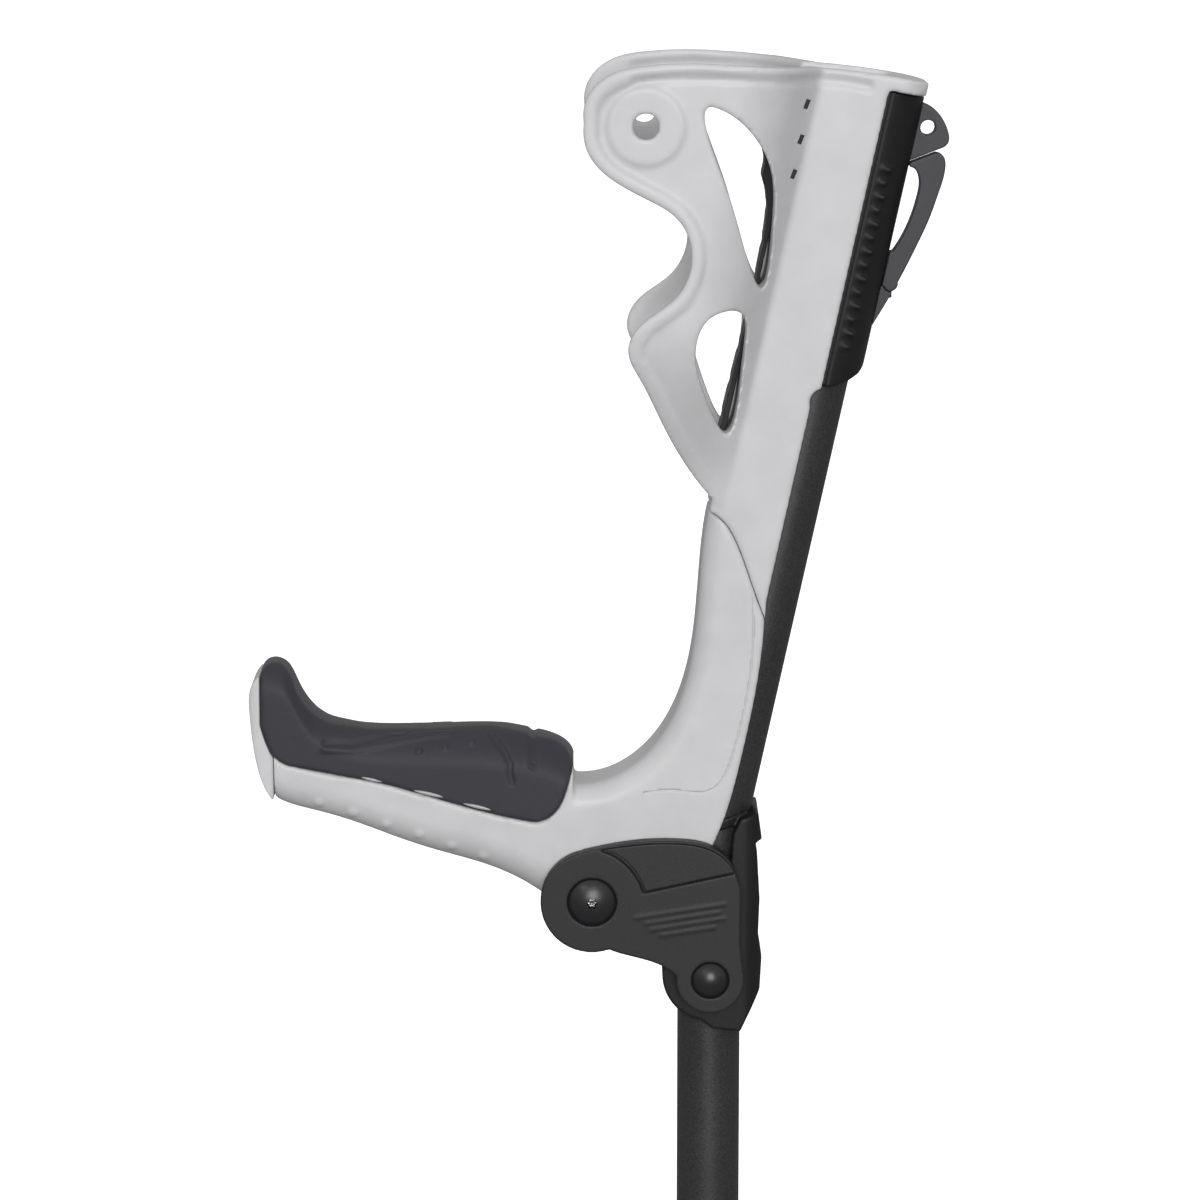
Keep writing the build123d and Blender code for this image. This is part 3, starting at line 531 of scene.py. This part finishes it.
def make_sleeve():
    """Guide sleeve with a row of short raised bars on each side."""
    first, pitch, count = 210, 5.4, 14  # along the upper tube
    back = 6.5  # behind its axis
    flank = 15.2
    bars = []
    for step in range(count):
        along = first + pitch * step
        x = along * math.sin(UPPER_LEAN) + back * math.cos(UPPER_LEAN)
        z = UPPER_FOOT_Z + along * math.cos(UPPER_LEAN) - back * math.sin(UPPER_LEAN)
        width = 6.5 if step % 2 else 5.0
        for side in SIDES:
            bars.append(box_tool((x, side * flank, z), (width, 1.9, 2.1), UPPER_LEAN + math.radians(12)))
    obj = moulded("guide_sleeve", "sleeve_shell", voxel_mm=0.6, rounds=3, add=(joined(bars),))
    # The sleeve takes the darker copy of the black moulding: painted shade.
    return finished(obj, "guide_sleeve", material=SHADED_BLACK)


def make_socket():
    """Bright worn insert in the six-lobed socket of the front bolt."""
    points = 36
    low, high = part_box("front_pivot_bolt")
    centre_x = (low[0] + high[0]) / 2 / MM
    centre_z = (low[2] + high[2]) / 2 / MM
    mouth = low[1] / MM + 0.8
    profile = ((1.0, 1.2), (1.0, 0.3), (0.8, 0.0), (0.45, 0.1), (0.3, 0.5))
    shape = bmesh.new()
    rings = []
    for share, depth in profile:
        ring = []
        for step in range(points):
            angle = math.tau * step / points
            radius = share * (1.75 + 0.45 * math.cos(6 * angle))
            x = centre_x + radius * math.cos(angle)
            z = centre_z + radius * math.sin(angle)
            ring.append(shape.verts.new(Vector((x, mouth + depth, z)) * MM))
        rings.append(ring)
    bridged(shape, rings)
    bmesh.ops.recalc_face_normals(shape, faces=shape.faces)
    steel = MATERIALS["plain_steel"]
    obj = finished(object_of(shape, "bolt_socket"), "front_pivot_bolt", replaces=False, material=steel)


def make_forearm_pad():
    """Soft strip with shallow cross channels."""
    obj = moulded("forearm_pad", "forearm_pad_skin", voxel_mm=0.55, rounds=8)
    first, pitch, width, depth = 150, 14, 3.0, 0.3
    for vertex in obj.data.vertices:
        x, z = vertex.co.x / MM, vertex.co.z / MM - UPPER_FOOT_Z
        along = x * math.sin(UPPER_LEAN) + z * math.cos(UPPER_LEAN)
        if vertex.normal.x < -0.3:
            to_channel = abs((along - first) % pitch - pitch / 2)
            vertex.co -= vertex.normal * (depth * MM * bell(to_channel, width))
    obj.data.update()
    finished(obj, "forearm_pad")


def make_ferrule():
    """Rubber foot with grip ribs round its flared base."""
    obj = moulded("ferrule", "ferrule_rubber", voxel_mm=0.75, rounds=4)
    ripple(obj, count=30, depth_mm=0.9, low_mm=2.5, high_mm=13)
    return finished(obj, "ferrule")


def make_damper():
    """Rubber block with two shallow waists."""
    obj = moulded("damper_block", "damper_rubber", voxel_mm=0.5, rounds=6)
    low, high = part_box("damper_block")
    middle = (low[2] + high[2]) / 2 / MM
    for vertex in obj.data.vertices:
        for waist in (middle - 2.6, middle + 2.6):
            vertex.co -= vertex.normal * (0.6 * MM * bell(abs(vertex.co.z / MM - waist), 1.6))
    obj.data.update()
    finished(obj, "damper_block")
    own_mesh(obj)


def make_plain(node, name, voxel_mm, rounds, material=None):
    """A moulding that keeps its CAD shape, its edges softened."""
    finished(moulded(node, name, voxel_mm, rounds), node, material=material)


make_cuff()
make_handle()
make_eyelets(make_grip())
make_lever()
make_sleeve()
make_socket()
make_forearm_pad()
make_ferrule()
make_damper()
# The bracket takes the darker copy of the black moulding: painted shade.
make_plain("knuckle_bracket", "bracket_shell", voxel_mm=0.55, rounds=4, material=SHADED_BLACK)
make_plain("handle_end_cap", "end_cap_shell", voxel_mm=0.5, rounds=5)
make_plain("hanging_eye", "eye_shell", voxel_mm=0.3, rounds=4)
make_plain("clip_lever", "clip_shell", voxel_mm=0.32, rounds=4)
make_plain("clip_base", "clip_base_shell", voxel_mm=0.25, rounds=3)
for hand in ("left", "right"):
    make_plain(f"lever_cover_{hand}", f"cover_{hand}", voxel_mm=0.25, rounds=3)

for node, obj in frame["nodes"].items():
    if not obj.hide_render:
        for slot in obj.material_slots:
            slot.material = MATERIALS[SLOT_OF[node]]


# ---------------------------------------------------------------- floor, light, camera
def make_floor():
    """White floor at the foot's level, which neither lights the object nor mirrors in it."""
    half = 45.0
    corners = [(-half, -half, 0), (half, -half, 0), (half, half, 0), (-half, half, 0)]
    mesh = bpy.data.meshes.new("floor")
    mesh.from_pydata(corners, [], [(0, 1, 2, 3)])
    floor = bpy.data.objects.new("floor", mesh)
    floor.location.z = CAD_BOX[0][2]
    bpy.context.collection.objects.link(floor)
    material = bpy.data.materials.new("floor_white")
    material.use_nodes = True
    bsdf = material.node_tree.nodes["Principled BSDF"]
    bsdf.inputs["Base Color"].default_value = (0.93, 0.93, 0.93, 1)
    bsdf.inputs["Roughness"].default_value = 0.9
    bsdf.inputs["Specular IOR Level"].default_value = 0.1
    bsdf.inputs["Emission Color"].default_value = (1, 1, 1, 1)
    bsdf.inputs["Emission Strength"].default_value = 0.75
    mesh.materials.append(material)
    floor.visible_diffuse = False
    floor.visible_glossy = False


def area_light(name, place, target, size, watts):
    """A round lamp at one place, facing another."""
    light = bpy.data.lights.new(name, "AREA")
    light.shape = "DISK"
    light.size = size
    light.energy = watts
    lamp = bpy.data.objects.new(name, light)
    lamp.location = place
    lamp.rotation_euler = (Vector(target) - Vector(place)).to_track_quat("-Z", "Y").to_euler()
    bpy.context.collection.objects.link(lamp)


def make_light():
    """Soft studio: a world paler above than below, a broad front light and a weak round lamp."""
    world = bpy.data.worlds.new("studio")
    world.use_nodes = True
    nodes, links = world.node_tree.nodes, world.node_tree.links
    direction = nodes.new("ShaderNodeTexCoord")
    height = nodes.new("ShaderNodeSeparateXYZ")
    links.new(direction.outputs["Generated"], height.inputs[0])
    strength = nodes.new("ShaderNodeMapRange")
    strength.inputs["From Min"].default_value = -0.25
    strength.inputs["From Max"].default_value = 0.35
    strength.inputs["To Min"].default_value = 0.18
    strength.inputs["To Max"].default_value = 0.52
    links.new(height.outputs["Z"], strength.inputs["Value"])
    links.new(strength.outputs["Result"], nodes["Background"].inputs["Strength"])
    nodes["Background"].inputs["Color"].default_value = (1, 1, 1, 1)
    bpy.context.scene.world = world
    sun = bpy.data.lights.new("front", "SUN")
    sun.energy = 1.95
    sun.angle = math.radians(30)
    lamp = bpy.data.objects.new("front", sun)
    lamp.rotation_euler = Vector((-0.05, 1.0, -0.20)).to_track_quat("-Z", "Y").to_euler()
    bpy.context.collection.objects.link(lamp)
    area_light("glint", place=(-0.9, -1.5, 1.9), target=(0, 0, 0.95), size=0.5, watts=2)
    bpy.context.scene.view_settings.view_transform = "Standard"


def make_camera():
    """Long lens on the -Y side, looking a little down at the upper part."""
    elevation = math.radians(10.5)
    distance = 1.7735
    aim = Vector((-0.04346, 0, 0.930))
    camera = bpy.data.cameras.new("camera")
    camera.lens = 135
    camera.sensor_width = 36
    camera.clip_end = 200
    obj = bpy.data.objects.new("camera", camera)
    obj.location = aim + distance * Vector((0, -math.cos(elevation), math.sin(elevation)))
    obj.rotation_euler = (math.pi / 2 - elevation, 0, 0)
    bpy.context.collection.objects.link(obj)
    bpy.context.scene.camera = obj


make_floor()
make_light()
make_camera()
